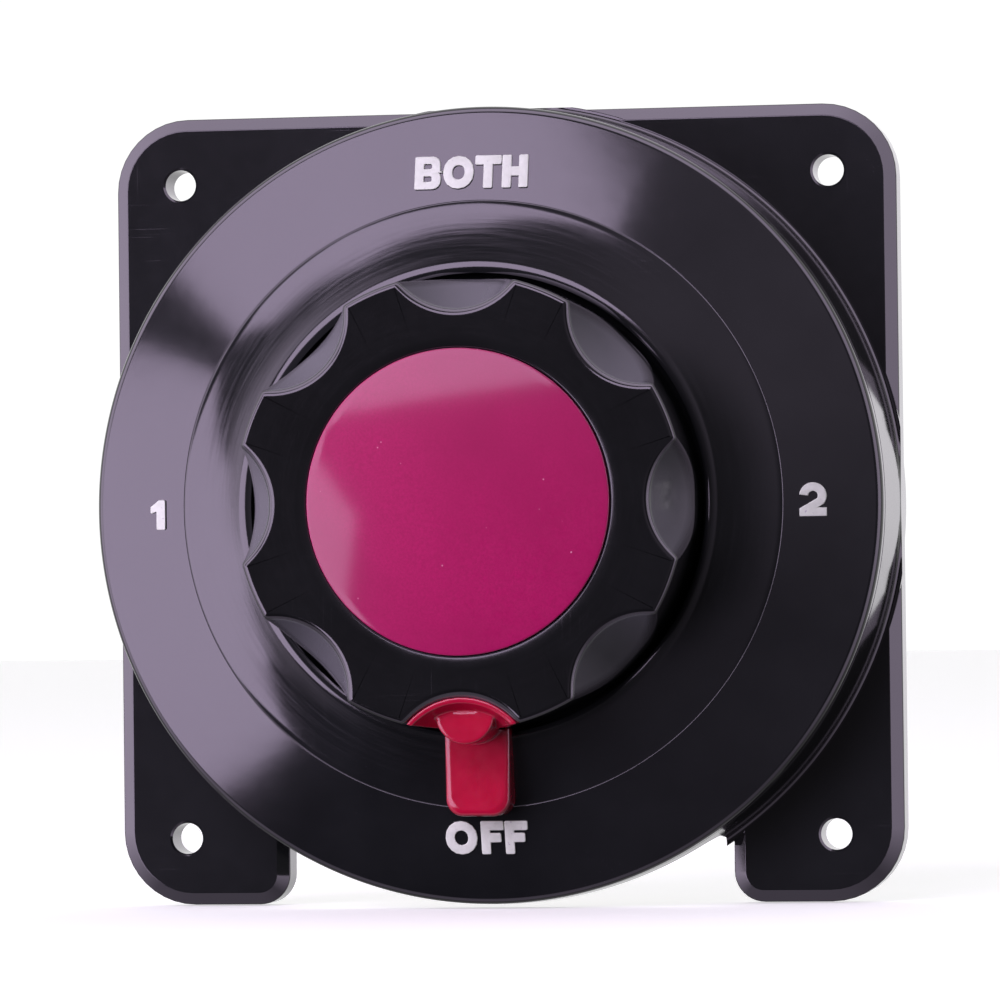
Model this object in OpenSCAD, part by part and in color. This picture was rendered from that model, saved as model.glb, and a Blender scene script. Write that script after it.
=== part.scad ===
// Four-position marine battery selector switch (OFF, 1, BOTH, 2).
// Every sub-part is drawn in dial coordinates: +X to the right of the dial, +Y up it and
// +Z out of the bulkhead, measured from the case's rear mounting face on the knob's axis.
// upright() then stands the switch on its bulkhead: +Z up, with the dial facing -Y.

/* [Mounting plate] */
// Side of the square plate
plate_side = 130; // [129:0.5:132]
// Thickness of the plate
plate_t = 7; // [6:0.5:8]
// Outer corner radius
plate_corner_r = 12; // [9:1:14]
// Inner corner radius of the two feet
foot_corner_r = 5; // [3:0.5:7]
// Width of the slope round the plate's front edge
plate_edge_w = 2; // [1:0.1:2.6]
// Angle of that slope in degrees
plate_edge_slope = 36; // [20:1:40]
// Distance between neighbouring mounting holes
hole_spacing = 108; // [106:0.5:110]
// Mounting hole diameter
hole_d = 5.1; // [4.5:0.1:6]
// Width of the cable notch between the feet
notch_w = 74; // [68:1:76]

/* [Drum] */
// Drum radius at the plate
drum_foot_r = 65.3; // [65.3:0.1:66]
// Radius that the drum's wall has tapered to at the rim
drum_rim_r = 64.4; // [64:0.1:64.6]
// Radius of the rounded rim
rim_round = 1.6; // [1:0.1:2]
// Thickness of the drum's wall
drum_wall = 4.5; // [4:0.25:5]
// Radius of the crease between the two face rings
crease_r = 48.9; // [48:0.1:49.2]
// Height of the crease
crease_z = 29; // [28.8:0.1:29.4]
// Slope of the outer, lettered ring in degrees
outer_slope = 15.8; // [15:0.1:16]
// Slope of the inner ring in degrees
inner_slope = 19.3; // [16:0.1:20]
// Width of the cable opening in the drum's wall
opening_w = 72; // [60:1:73]

/* [Knob well and turret] */
// Radius of the knob well
well_r = 37.2; // [37.1:0.1:37.8]
// Height of the well's floor
well_floor_z = 28.7; // [28.5:0.1:29]
// Outer radius of the turret that carries the shaft
turret_r = 24; // [23.6:0.1:24.2]
// Top of the turret
turret_top_z = 38; // [37.5:0.1:38]
// Radius of the rotor chamber in the turret
chamber_r = 21; // [20.9:0.1:21.2]
// Radius of the shaft bore
shaft_bore_r = 6.05; // [6.03:0.01:6.1]

/* [Knob] */
// Outer radius of the knob
knob_r = 36.2; // [36:0.1:36.4]
// Height of the knob's face
knob_top_z = 50; // [49.5:0.1:50.5]
// Number of finger scoops
scoops = 8; // [8:1:8]
// Radius of a scoop's cutter
scoop_r = 12.2; // [11.5:0.1:12.6]
// Tilt of a scoop from the knob's axis in degrees
scoop_tilt = 21.5; // [20:0.5:23]
// Radius of the label disc
label_r = 24.3; // [23:0.1:24.4]
// Height of the label's dome over its edge
label_dome = 1.4; // [0.8:0.1:1.6]

/* [Pointer] */
// Width of the pointer's arm
arm_w = 10.5; // [9:0.1:11.5]
// Width of the pointer's half-round post
post_w = 9.5; // [8.5:0.1:10]
// Reach of the arm from the knob's axis
arm_reach = 50; // [49:0.1:50.3]
// Height of the arm's top
arm_top_z = 35.4; // [35:0.1:36]
// Height of the post's top
post_top_z = 46; // [44:0.5:47]

/* [Terminals] */
// Radius of the three studs
stud_r = 4.76; // [4.7:0.01:4.76]
// Distance of the studs from the knob's axis
stud_ring_r = 27; // [26.8:0.1:27.4]
// Height of the studs' free ends over the mounting face
stud_end_z = 1; // [0.5:0.1:1.5]
// Width of a nut across its flats
nut_af = 14.3; // [13.5:0.1:15]

/* [Legends] */
// Height of the capital letters
cap_h = 5.4; // [5:0.1:5.6]
// Radius at which the legends are centred
legend_r = 53.6; // [53.4:0.1:54]
// Height that the letters stand over the ring
legend_raise = 0.35; // [0.2:0.05:0.5]

/* [Hidden] */
$fn = 96;

// Clearances and shared small sizes
eps = 0.01;
slip = 0.05;                 // between two pieces that are fixed together
axial_play = 0.2;            // of the knob and rotor on the turret

// Case interior, from the rear
plate_half = plate_side / 2;
notch_half = notch_w / 2;
edge_roll_r = 0.5;           // between the plate's sloping edge and its wall
cavity_r = drum_foot_r - drum_wall;
cavity_z = 20.8;             // the cavity's wall ends and its sloping roof begins
cavity_bend_z = 24.9;        // the sloping roof ends over the gasket rib
roof_flat_r = 42;            // the flat roof begins
roof_z = 26;                 // underside of the well's floor
chamber_top_z = 34.3;
cable_z = 17;                // top of the cable opening

// Contact stack, from the rear
board_r = 52;
board_z = [17, 21];
gasket_t = 0.8;
rib_r = [48, 51.5];
bar_t = 2.5;
bar_top_z = board_z[1] + bar_t;
bridge_z = bar_top_z + slip;
bridge_t = 2;
board_screw_xy = 30;
boss_r = 5;

// Terminals
stud_angle_1 = 150;
stud_angle_2 = 30;
stud_angle_common = 270;
stud_angles = [stud_angle_1, stud_angle_2, stud_angle_common];
terminal_nut_z = [4, 9];
lock_washer_z = [9, 11];
flat_washer_z = [11, 12.6];
jam_nut_z = [12.6, 17];
stud_chamfer = 0.4;
stud_head_r = 6.5;
stud_head_h = 1.9;
stud_groove_z = [terminal_nut_z[0] - 0.1, terminal_nut_z[0] + 0.4];

// Contact positions
pad_r = 4;
pad_ring_r = 15.5;
pad_angle_1 = 135;
pad_angle_2 = 45;
hub_r = 9;
sector_r = 19;
sector_half = 60;
off_angle = 270;

// Rotor
rotor_r = 20.8;
rotor_z = [27, chamber_top_z - axial_play];
shaft_r = 6;
square_w = 8.4;
square_z = [turret_top_z + 0.1, 44.3];
drive_w = 9;
drive_z = 24.2;
screw_hole = [2.55, 31];     // radius and bottom of the tapped hole
ring_groove_z = [35.5, 36.7];
ring_groove_r = 4.9;

// Detent
ball_r = 2.5;
ball_ring_r = rotor_r - ball_r + 0.1;
ball_travel = 1;
detent_z = 30.6;
pocket_r = 2.6;
pocket_floor_r = 9.5;
detent_angles = [0, 180];

// Bridge springs: [angle, distance from the axis]
bridge_spring_at = [[235, 14], [305, 14], [90, 6.8]];
spring_pocket_r = 2.1;
spring_pocket_top = 31.5;

// Springs
spring_wire_r = 0.25;
spring_turns = 5;
detent_coil_r = 1.85;
detent_spring_len = 6.9;
bridge_coil_r = 1.5;

// Knob interior
knob_bottom_z = 30;
knob_cavity_r = 26;
knob_roof_z = 45.5;
knob_boss_r = 11;
label_seat_z = knob_top_z - 1;
counterbore = [7.2, 44.7];   // radius and floor
scoop_top_r = 43.4;          // cutter's axis from the knob's axis, at the knob's face
lining_t = 0.9;
post_from_r = 33;
post_reach = 38.2;           // the half-round post's back, from the knob's axis
lip_r = 0.9;                 // rounds the well's lip
arm_gap = 0.6;
arm_nose_r = 1.6;            // rounds the end of the arm over into its top
arm_corner_r = 2.8;          // rounds the end of the arm in plan

// Width of a letter's stroke
stroke = 1.35;
// Dial angles of the two legends that sit a little off their quarter turns
legend_1_angle = 181;
legend_both_angle = 91.3;

// Heights of the two face rings at a radius
function outer_ring_z(r) = crease_z - (r - crease_r) * tan(outer_slope);
function inner_ring_z(r) = crease_z + (crease_r - r) * tan(inner_slope);
function polar(r, a) = [r * cos(a), r * sin(a)];
function arc(c, r, a0, a1, n) = [for (i = [0:n]) c + polar(r, a0 + (a1 - a0) * i / n)];

// Stands dial coordinates up on the bulkhead
module upright() rotate([90, 0, 0]) children();

// Revolves an outline of [radius, height] points
module lathe(points) rotate_extrude() polygon(points);

// Copies children to the three studs
module at_studs() for (a = stud_angles) rotate(a) translate([stud_ring_r, 0, 0]) children();

// Copies children to the contact plate's four screws
module at_board_screws()
    for (x = [-1, 1], y = [-1, 1]) translate([x, y, 0] * board_screw_xy) children();

// Ring with a rectangular section
module washer_ring(r_in, r_out, z0, z1)
    translate([0, 0, z0]) difference() {
        cylinder(r = r_out, h = z1 - z0);
        translate([0, 0, -1]) cylinder(r = r_in, h = z1 - z0 + 2);
    }

// Hexagonal nut with a turned chamfer on both faces
module nut(z0, z1) {
    corner_r = nut_af / 2 / cos(30);
    bevel = corner_r - nut_af / 2 + 0.2;
    rise = bevel * tan(30);
    difference() {
        intersection() {
            translate([0, 0, z0]) cylinder(r = corner_r, h = z1 - z0, $fn = 6);
            lathe([[0, z0], [corner_r - bevel, z0], [corner_r + eps, z0 + rise],
                   [corner_r + eps, z1 - rise], [corner_r - bevel, z1], [0, z1]]);
        }
        translate([0, 0, z0 - 1]) cylinder(r = stud_r + 0.04, h = z1 - z0 + 2);
    }
}

// Helical compression spring of a given length that starts at the origin and runs along +Z
module spring(mean_r, wire_r, length, turns) {
    sides = 6;
    steps = turns * 12;
    rise = length - 2 * wire_r;
    function wire_point(i, j) =
        let (a = 360 * turns * i / steps, r = mean_r + wire_r * cos(360 * j / sides))
        [r * cos(a), r * sin(a), wire_r + rise * i / steps + wire_r * sin(360 * j / sides)];
    points = [for (i = [0:steps], j = [0:sides - 1]) wire_point(i, j)];
    walls = [for (i = [0:steps - 1], j = [0:sides - 1])
        let (a = i * sides + j, b = i * sides + (j + 1) % sides)
        for (f = [[a, b, b + sides], [a, b + sides, a + sides]]) f];
    start = [for (j = [1:sides - 2]) [0, j + 1, j]];
    last = steps * sides;
    end = [for (j = [1:sides - 2]) [last, last + j, last + j + 1]];
    polyhedron(points, concat(walls, start, end));
}

// ---- Case ----

// Corner of the plate: a slope round its face, rolled over into its wall
module plate_corner(x, y, r) {
    wall_top = plate_t - plate_edge_w * tan(plate_edge_slope);
    translate([x, y, 0]) rotate_extrude($fn = 48)
        polygon(concat([[0, 0], [r, 0]], arc([r - edge_roll_r, wall_top - edge_roll_r], edge_roll_r, 0, 90 - plate_edge_slope, 3),
                       [[r - plate_edge_w, plate_t], [0, plate_t]]));
}

// Upper part of the plate, above the cable notch
module plate_body() {
    c = plate_half - plate_corner_r;
    hull() for (x = [-c, c], y = [-30, c]) plate_corner(x, y, plate_corner_r);
}

// Foot beside the cable notch; side is -1 on the left and 1 on the right
module plate_foot(side) {
    outer = plate_half - plate_corner_r;
    inner = notch_half + foot_corner_r;
    hull() {
        for (y = [-20, -outer]) plate_corner(side * outer, y, plate_corner_r);
        for (y = [-20, foot_corner_r - plate_half]) plate_corner(side * inner, y, foot_corner_r);
    }
}

// Outside of the drum, its two face rings, the knob well and the turret
module drum_outside() {
    rim_c = [drum_rim_r - rim_round, outer_ring_z(drum_rim_r - rim_round) - rim_round / cos(outer_slope)];
    lip_c = [well_r + lip_r, inner_ring_z(well_r + lip_r) - lip_r];
    lathe(concat(
        [[0, 0], [drum_foot_r, 0], [drum_foot_r, plate_t]],
        arc(rim_c, rim_round, 3, 90 - outer_slope, 5),
        [[crease_r, crease_z]], arc(lip_c, lip_r, 90 - inner_slope, 180, 4),
        [[well_r, well_floor_z], [turret_r, well_floor_z],
         [turret_r, turret_top_z - 0.6], [turret_r - 0.6, turret_top_z], [0, turret_top_z]]));
}

// Hollow behind the drum with the rotor's chamber at its middle
module drum_inside()
    lathe([[0, -1], [cavity_r, -1], [cavity_r, cavity_z], [rib_r[0] + 0.5, cavity_bend_z],
           [roof_flat_r, roof_z], [chamber_r, roof_z], [chamber_r, chamber_top_z], [0, chamber_top_z]]);

// Grooves in the chamber's wall that the detent balls drop into
module detent_grooves()
    for (a = [0:90:270]) rotate(a) translate([ball_ring_r + ball_travel, 0, roof_z - 1])
        cylinder(r = ball_r + 0.15, h = detent_z + ball_r + 1.2 - roof_z);

module housing() color("#1b1c21") upright() difference() {
    union() {
        difference() {
            union() {
                plate_body();
                plate_foot(-1);
                plate_foot(1);
                drum_outside();
            }
            drum_inside();
        }
        washer_ring(rib_r[0], rib_r[1], board_z[1] + gasket_t, roof_z - 1);
        at_board_screws() translate([0, 0, board_z[1]])
            cylinder(r = boss_r, h = roof_z - board_z[1] + 1);
    }
    translate([-opening_w / 2, -plate_side, -1]) cube([opening_w, plate_side - 40, cable_z + 1]);
    for (x = [-1, 1], y = [-1, 1]) translate([x * hole_spacing / 2, y * hole_spacing / 2, -1])
        cylinder(d = hole_d, h = plate_t + 2);
    translate([0, 0, chamber_top_z - 1]) cylinder(r = shaft_bore_r, h = 10);
    at_board_screws() translate([0, 0, board_z[1] - 1]) cylinder(r = 1.6, h = 5.4);
    detent_grooves();
}

// ---- Legends ----

// Upright slot shape: a circle when it is as wide as it is tall
module slot_shape(w, h) {
    for (s = [-1, 1]) translate([0, s * (h - w) / 2]) circle(r = w / 2);
    square([w, h - w], center = true);
}

module letter_o(w) difference() {
    slot_shape(w, cap_h);
    slot_shape(w - 2 * stroke, cap_h - 2 * stroke);
}

module bar_h(w, y) translate([0, y - stroke / 2]) square([w, stroke]);

module letter_f(w) translate([-w / 2, 0]) {
    translate([0, -cap_h / 2]) square([stroke, cap_h]);
    bar_h(w, cap_h / 2 - stroke / 2);
    bar_h(w * 0.86, 0);
}

module letter_b(w) translate([-w / 2, 0]) {
    bowl_r = (cap_h + stroke) / 4;
    translate([0, -cap_h / 2]) square([stroke, cap_h]);
    for (s = [-1, 1]) translate([w - bowl_r, s * (cap_h / 2 - bowl_r)]) intersection() {
        difference() {
            circle(r = bowl_r);
            circle(r = bowl_r - stroke);
        }
        translate([0, -bowl_r]) square([bowl_r, 2 * bowl_r]);
    }
    for (y = [-1, 0, 1]) bar_h(w - bowl_r + eps, y * (cap_h - stroke) / 2);
}

module letter_t(w) {
    translate([-stroke / 2, -cap_h / 2]) square([stroke, cap_h]);
    translate([-w / 2, 0]) bar_h(w, (cap_h - stroke) / 2);
}

module letter_h(w) {
    for (s = [-1, 1]) translate([s * (w - stroke) / 2 - stroke / 2, -cap_h / 2]) square([stroke, cap_h]);
    translate([-w / 2, 0]) bar_h(w, 0);
}

module digit_1() {
    h = 4.8;
    polygon([[-0.1, -h / 2], [1.3, -h / 2], [1.3, h / 2], [0.3, h / 2],
             [-1.2, h / 2 - 1.1], [-1.2, h / 2 - 2.1], [-0.1, h / 2 - 1.6]]);
}

module digit_2() {
    w = 4.2;
    bowl_r = w / 2;
    centre = [0, cap_h / 2 - bowl_r];
    thick = 1.2;
    bowl_ends = [-38, 172];
    base_z = thick - cap_h / 2;
    polygon(concat([[-w / 2, -cap_h / 2], [w / 2, -cap_h / 2], [w / 2, base_z], [0.3, base_z]],
                   arc(centre, bowl_r, bowl_ends[0], bowl_ends[1], 20),
                   arc(centre, bowl_r - thick, bowl_ends[1], bowl_ends[0], 14),
                   [[-w / 2, base_z - 0.1]]));
}

// Raises a flat legend out of the lettered ring, at a dial angle
module on_ring(angle) upright() intersection() {
    translate(concat(polar(legend_r, angle), [crease_z - 6])) linear_extrude(12) children();
    lathe([for (r = [crease_r + 1, drum_rim_r - 2]) [r, outer_ring_z(r) - slip],
           for (r = [drum_rim_r - 2, crease_r + 1]) [r, outer_ring_z(r) + legend_raise]]);
}

module legend_off() color("white") on_ring(270) {
    translate([-4.05, 0]) letter_o(5.2);
    translate([1.05, 0]) letter_f(3.7);
    translate([4.95, 0]) letter_f(3.7);
}

module legend_1() color("white") on_ring(legend_1_angle) digit_1();

module legend_both() color("white") on_ring(legend_both_angle) {
    translate([-7.1, 0]) letter_b(4.3);
    translate([-2.05, 0]) letter_o(5.0);
    translate([2.8, 0]) letter_t(4.3);
    translate([7.2, 0]) letter_h(4.2);
}

module legend_2() color("white") on_ring(0) digit_2();

// ---- Knob group ----

// Slanting cylinder that cuts the finger scoop on the +X side; shrink makes room for a lining
module scoop_cutter(shrink = 0)
    translate([scoop_top_r, 0, knob_top_z]) rotate([0, -scoop_tilt, 0])
        cylinder(r = scoop_r - shrink, h = 70, center = true);

module knob() color("#141519") upright() difference() {
    lathe([[0, square_z[0] + 0.1], [knob_boss_r, square_z[0] + 0.1], [knob_boss_r, knob_roof_z],
           [knob_cavity_r, knob_roof_z], [knob_cavity_r, knob_bottom_z + 0.6],
           [knob_cavity_r + 0.6, knob_bottom_z], [knob_r - 0.6, knob_bottom_z],
           [knob_r, knob_bottom_z + 0.6], [knob_r, knob_top_z - 0.5], [knob_r - 0.5, knob_top_z],
           [label_r + 0.15, knob_top_z], [label_r + 0.15, label_seat_z],
           [counterbore[0], label_seat_z], [counterbore[0], counterbore[1]], [0, counterbore[1]]]);
    for (i = [0:scoops - 1]) rotate(i * 360 / scoops) scoop_cutter();
    translate([0, 0, square_z[0] + 3]) cube([square_w + 0.1, square_w + 0.1, 12], center = true);
}

// The knob's solid outline, for what has to lie against it
module knob_blank() difference() {
    cylinder(r = knob_r + slip, h = knob_top_z);
    scoop_cutter(slip);
}

module pointer() color("#c4123f") upright() rotate(off_angle) union() {
    intersection() {
        difference() {
            scoop_cutter(slip);
            scoop_cutter(lining_t);
        }
        translate([0, 0, arm_top_z - 2]) cylinder(r = knob_r, h = knob_top_z - arm_top_z + 1);
    }
    difference() {
        union() {
            // half-round post
            intersection() {
                translate([post_reach - post_w / 2, 0, arm_top_z - 2])
                    cylinder(r = post_w / 2, h = post_top_z - arm_top_z + 2);
                translate([post_from_r, -post_w, 0]) cube([post_w, 2 * post_w, post_top_z]);
            }
            // arm: its plan has rounded outer corners and its underside follows the inner ring
            intersection() {
                translate([0, 0, crease_z - 2]) linear_extrude(12) arm_plan();
                rotate([90, 0, 0]) linear_extrude(arm_w + 2, center = true) polygon(concat(
                    [[post_from_r, inner_ring_z(well_r) + arm_gap],
                     [well_r, inner_ring_z(well_r) + arm_gap],
                     [crease_r, crease_z + arm_gap], [arm_reach + 1, crease_z + arm_gap]],
                    arc([arm_reach - arm_nose_r, arm_top_z - arm_nose_r], arm_nose_r, 0, 90, 4),
                    [[post_from_r, arm_top_z]]));
            }
        }
        knob_blank();
    }
}

// Plan of the pointer's arm
module arm_plan() {
    corner = arm_corner_r;
    translate([post_from_r, -arm_w / 2]) square([arm_reach - corner - post_from_r, arm_w]);
    translate([post_from_r, corner - arm_w / 2]) square([arm_reach - post_from_r, arm_w - 2 * corner]);
    for (s = [-1, 1]) translate([arm_reach - corner, s * (arm_w / 2 - corner)]) circle(r = corner);
}

// Domed disc: the dome is an arc through its edge and its middle
module label_disc() color("#b01a62") upright() {
    edge_z = knob_top_z + 0.1;
    dome_r = (label_r * label_r + label_dome * label_dome) / (2 * label_dome);
    half_angle = asin(label_r / dome_r);
    lathe(concat([[0, label_seat_z], [label_r, label_seat_z]],
                 arc([0, edge_z + label_dome - dome_r], dome_r, 90 - half_angle, 90, 8)));
}

module knob_screw() color("silver") upright() difference() {
    head_z = counterbore[1] + 1;
    lathe([[0, screw_hole[1] + 1], [1.6, screw_hole[1] + 1], [2.5, screw_hole[1] + 1.9], [2.5, head_z],
           [4.6, head_z], [4.6, head_z + 1.6], [3.6, head_z + 2.6], [0, head_z + 2.6]]);
    for (a = [0, 90]) rotate(a) translate([-2.4, -0.5, head_z + 1]) cube([4.8, 1, 3]);
}

module knob_washer() color("silver") upright()
    washer_ring(2.7, 6.5, counterbore[1], counterbore[1] + 1);

module rotor() color("#d8d4c8") upright() difference() {
    union() {
        translate([0, 0, rotor_z[0]]) cylinder(r = rotor_r, h = rotor_z[1] - rotor_z[0]);
        cylinder_between(shaft_r, rotor_z[1] - 1, square_z[0]);
        square_between(square_w, square_z[0] - 1, square_z[1]);
        square_between(drive_w, drive_z, rotor_z[0] + 1);
    }
    cylinder_between(screw_hole[0], screw_hole[1], square_z[1] + 1);
    washer_ring(ring_groove_r, shaft_r + 1, ring_groove_z[0], ring_groove_z[1]);
    for (a = detent_angles) rotate(a) translate([pocket_floor_r, 0, detent_z])
        rotate([0, 90, 0]) cylinder(r = pocket_r, h = rotor_r);
    for (s = bridge_spring_at) rotate(s[0]) translate([s[1], 0, 0])
        cylinder_between(spring_pocket_r, rotor_z[0] - 1, spring_pocket_top);
}

module cylinder_between(r, z0, z1) translate([0, 0, z0]) cylinder(r = r, h = z1 - z0);

module square_between(w, z0, z1) translate([-w / 2, -w / 2, z0]) cube([w, w, z1 - z0]);

module shaft_o_ring() color("#101010") upright() {
    section_r = 0.55;
    translate([0, 0, (ring_groove_z[0] + ring_groove_z[1]) / 2]) rotate_extrude()
        translate([ring_groove_r + section_r + 0.02, 0]) circle(r = section_r);
}

// ---- Detent ----

module detent_ball(angle) color("silver") upright() rotate(angle)
    translate([ball_ring_r, 0, detent_z]) sphere(r = ball_r);

module detent_spring(angle) color("gray") upright() rotate(angle)
    translate([pocket_floor_r, 0, detent_z]) rotate([0, 90, 0])
        spring(detent_coil_r, spring_wire_r, detent_spring_len, spring_turns);

module detent_ball_1() detent_ball(detent_angles[0]);
module detent_ball_2() detent_ball(detent_angles[1]);
module detent_spring_1() detent_spring(detent_angles[0]);
module detent_spring_2() detent_spring(detent_angles[1]);

// ---- Contacts ----

module contact_bridge() color("#c87a4a") upright() translate([0, 0, bridge_z])
    linear_extrude(bridge_t) difference() {
        union() {
            circle(r = hub_r);
            intersection() {
                circle(r = sector_r);
                polygon([[0, 0], for (a = [-sector_half, 0, sector_half]) polar(3 * sector_r, off_angle + a)]);
            }
        }
        square(drive_w + 0.2, center = true);
    }

module bridge_springs() color("gray") upright() {
    bottom = bridge_z + bridge_t;
    for (s = bridge_spring_at) rotate(s[0]) translate([s[1], 0, bottom])
        spring(bridge_coil_r, spring_wire_r, spring_pocket_top - bottom, spring_turns);
}

module contact_plate() color("#5a3a22") upright() difference() {
    washer_ring(0, board_r, board_z[0], board_z[1]);
    at_studs() cylinder_between(stud_r + 0.14, board_z[0] - 1, board_z[1] + 1);
    at_board_screws() cylinder_between(2, board_z[0] - 1, board_z[1] + 1);
}

module plate_gasket() color("#202020") upright()
    washer_ring(rib_r[0], rib_r[1], board_z[1], board_z[1] + gasket_t);

module contact_plate_screws() color("silver") upright() at_board_screws() difference() {
    lathe([[0, board_z[0] - 2], [2.6, board_z[0] - 2], [3.6, board_z[0] - 1.1], [3.6, board_z[0]],
           [1.55, board_z[0]], [1.55, 24], [0.5, 25.2], [0, 25.2]]);
    for (a = [0, 90]) rotate(a) translate([-2, -0.4, board_z[0] - 3]) cube([4, 0.8, 2.2]);
}

// Copper bar from a contact pad to its stud
module contact_bar(stud_angle, pad_angle, pad_distance, pad_radius) {
    a = polar(pad_distance, pad_angle);
    b = polar(stud_ring_r, stud_angle);
    across = atan2(b[1] - a[1], b[0] - a[0]);
    width = 8;
    translate([0, 0, board_z[1]]) linear_extrude(bar_t) difference() {
        union() {
            translate(a) circle(r = pad_radius);
            translate(b) circle(r = 7);
            translate(a) rotate(across) translate([0, -width / 2]) square([norm(b - a), width]);
        }
        translate(b) circle(r = stud_r + 0.14);
    }
}

module contact_bar_1() color("#c87a4a") upright()
    contact_bar(stud_angle_1, pad_angle_1, pad_ring_r, pad_r);

module contact_bar_2() color("#c87a4a") upright()
    contact_bar(stud_angle_2, pad_angle_2, pad_ring_r, pad_r);

module contact_bar_common() color("#c87a4a") upright()
    contact_bar(stud_angle_common, stud_angle_common, 0, hub_r);

// ---- Terminals ----

// Stud with a thin round head on its contact bar. Its free end has a lead-in chamfer and, just
// inside the terminal nut, a shallow groove where the first turn of thread runs out.
module stud(angle) color("#c9a25a") upright() rotate(angle) translate([stud_ring_r, 0, 0])
    lathe([[0, stud_end_z], [stud_r - stud_chamfer, stud_end_z], [stud_r, stud_end_z + stud_chamfer],
           [stud_r, stud_groove_z[0]], [stud_r - 0.4, stud_groove_z[0]],
           [stud_r - 0.4, stud_groove_z[1]], [stud_r, stud_groove_z[1]], [stud_r, bar_top_z],
           [stud_head_r, bar_top_z], [stud_head_r, bar_top_z + stud_head_h - 0.3],
           [stud_head_r - 0.3, bar_top_z + stud_head_h], [0, bar_top_z + stud_head_h]]);

module stud_1() stud(stud_angle_1);
module stud_2() stud(stud_angle_2);
module stud_common() stud(stud_angle_common);

module jam_nuts() color("silver") upright() at_studs() nut(jam_nut_z[0], jam_nut_z[1]);

module flat_washers() color("silver") upright() at_studs()
    washer_ring(stud_r + 0.3, 10.3, flat_washer_z[0], flat_washer_z[1]);

module lock_washers() color("silver") upright() at_studs() difference() {
    washer_ring(stud_r + 0.2, 8.6, lock_washer_z[0], lock_washer_z[1]);
    translate([0, -0.6, lock_washer_z[0] - 1]) rotate([18, 0, 0]) cube([12, 1.2, 6]);
}

module terminal_nuts() color("silver") upright() at_studs() nut(terminal_nut_z[0], terminal_nut_z[1]);

housing();
legend_off();
legend_1();
legend_both();
legend_2();
knob();
pointer();
label_disc();
knob_screw();
knob_washer();
rotor();
shaft_o_ring();
detent_ball_1();
detent_ball_2();
detent_spring_1();
detent_spring_2();
contact_bridge();
bridge_springs();
contact_plate();
plate_gasket();
contact_plate_screws();
contact_bar_1();
contact_bar_2();
contact_bar_common();
stud_1();
stud_2();
stud_common();
jam_nuts();
flat_washers();
lock_washers();
terminal_nuts();
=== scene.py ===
from math import acos, asin, atan2, copysign, cos, degrees, hypot, pi, radians, sin, sqrt, tan

import bmesh
import bpy
import numpy as np
from mathutils import Matrix, Vector


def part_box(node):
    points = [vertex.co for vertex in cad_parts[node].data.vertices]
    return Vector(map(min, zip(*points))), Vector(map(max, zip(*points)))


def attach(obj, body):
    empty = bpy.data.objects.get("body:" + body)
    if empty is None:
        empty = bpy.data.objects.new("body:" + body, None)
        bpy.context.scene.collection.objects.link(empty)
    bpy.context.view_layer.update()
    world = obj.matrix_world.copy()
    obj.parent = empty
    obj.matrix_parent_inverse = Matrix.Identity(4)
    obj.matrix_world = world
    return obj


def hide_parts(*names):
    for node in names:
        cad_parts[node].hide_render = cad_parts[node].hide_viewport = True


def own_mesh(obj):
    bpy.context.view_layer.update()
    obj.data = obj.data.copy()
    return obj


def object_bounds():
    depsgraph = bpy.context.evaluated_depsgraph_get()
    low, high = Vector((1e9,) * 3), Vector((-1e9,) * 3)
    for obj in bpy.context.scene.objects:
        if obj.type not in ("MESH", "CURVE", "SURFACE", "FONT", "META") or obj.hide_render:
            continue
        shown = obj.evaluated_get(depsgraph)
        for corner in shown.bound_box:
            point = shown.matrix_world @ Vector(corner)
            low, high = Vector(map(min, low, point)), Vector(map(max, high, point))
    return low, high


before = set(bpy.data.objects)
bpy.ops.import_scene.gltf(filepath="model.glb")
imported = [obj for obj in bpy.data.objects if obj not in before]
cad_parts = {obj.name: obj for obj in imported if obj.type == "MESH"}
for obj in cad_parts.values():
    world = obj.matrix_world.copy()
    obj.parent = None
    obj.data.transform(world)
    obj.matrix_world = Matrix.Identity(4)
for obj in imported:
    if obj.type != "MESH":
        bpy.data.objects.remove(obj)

# The four-position battery switch, dressed over its CAD frame. Shapes are made in dial
# coordinates, in millimetres: +X to the right of the dial, +Y up it and +Z out of the
# bulkhead from the case's rear face. row() turns them into the frame's metres.

CAD_LOW, CAD_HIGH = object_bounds()


# ---- Measures ----

def dial_box(node):
    """Lowest and highest corner of a CAD node, in dial millimetres."""
    low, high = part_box(node)
    return np.array((low.x, low.z, -high.y)) * 1000, np.array((high.x, high.z, -low.y)) * 1000


CASE_LOW, CASE_HIGH = dial_box("housing")
KNOB_LOW, KNOB_HIGH = dial_box("knob")
LABEL_LOW, LABEL_HIGH = dial_box("label_disc")
POINTER_LOW = dial_box("pointer")[0]
BOARD_LOW, BOARD_HIGH = dial_box("contact_plate")
STUD_LOW, STUD_HIGH = dial_box("stud_common")

# case
DRUM_R = CASE_HIGH[0]
PLATE_HALF = -CASE_LOW[1]
PLATE_T = 7.0
PLATE_CORNER_R = 12.0
FOOT_CORNER_R = 5.0
PLATE_EDGE_SLOPE_W = 2.0
PLATE_EDGE_SLOPE = radians(36)
HOLE_SPACING = 108.0
HOLE_R = 2.55
NOTCH_HALF = 37.0
NOTCH_TOP_Y = -40.0
OPENING_HALF = 36.0
OPENING_CORNER_R = 3.0
CABLE_Z = BOARD_LOW[2]
RIM_R = 64.4
RIM_ROUND = 1.6
SEAM_DROP = 2.5
DRUM_FOOT = 1.1
DRUM_WALL = 4.5
CREASE_R = 48.9
CREASE_Z = 29.0
OUTER_SLOPE = radians(15.8)
INNER_SLOPE = radians(19.5)
LIP_R = 37.9
LIP_Z = 32.7
LIP_ROUND = 3.0
CAVITY_R = DRUM_R - DRUM_WALL
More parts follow.
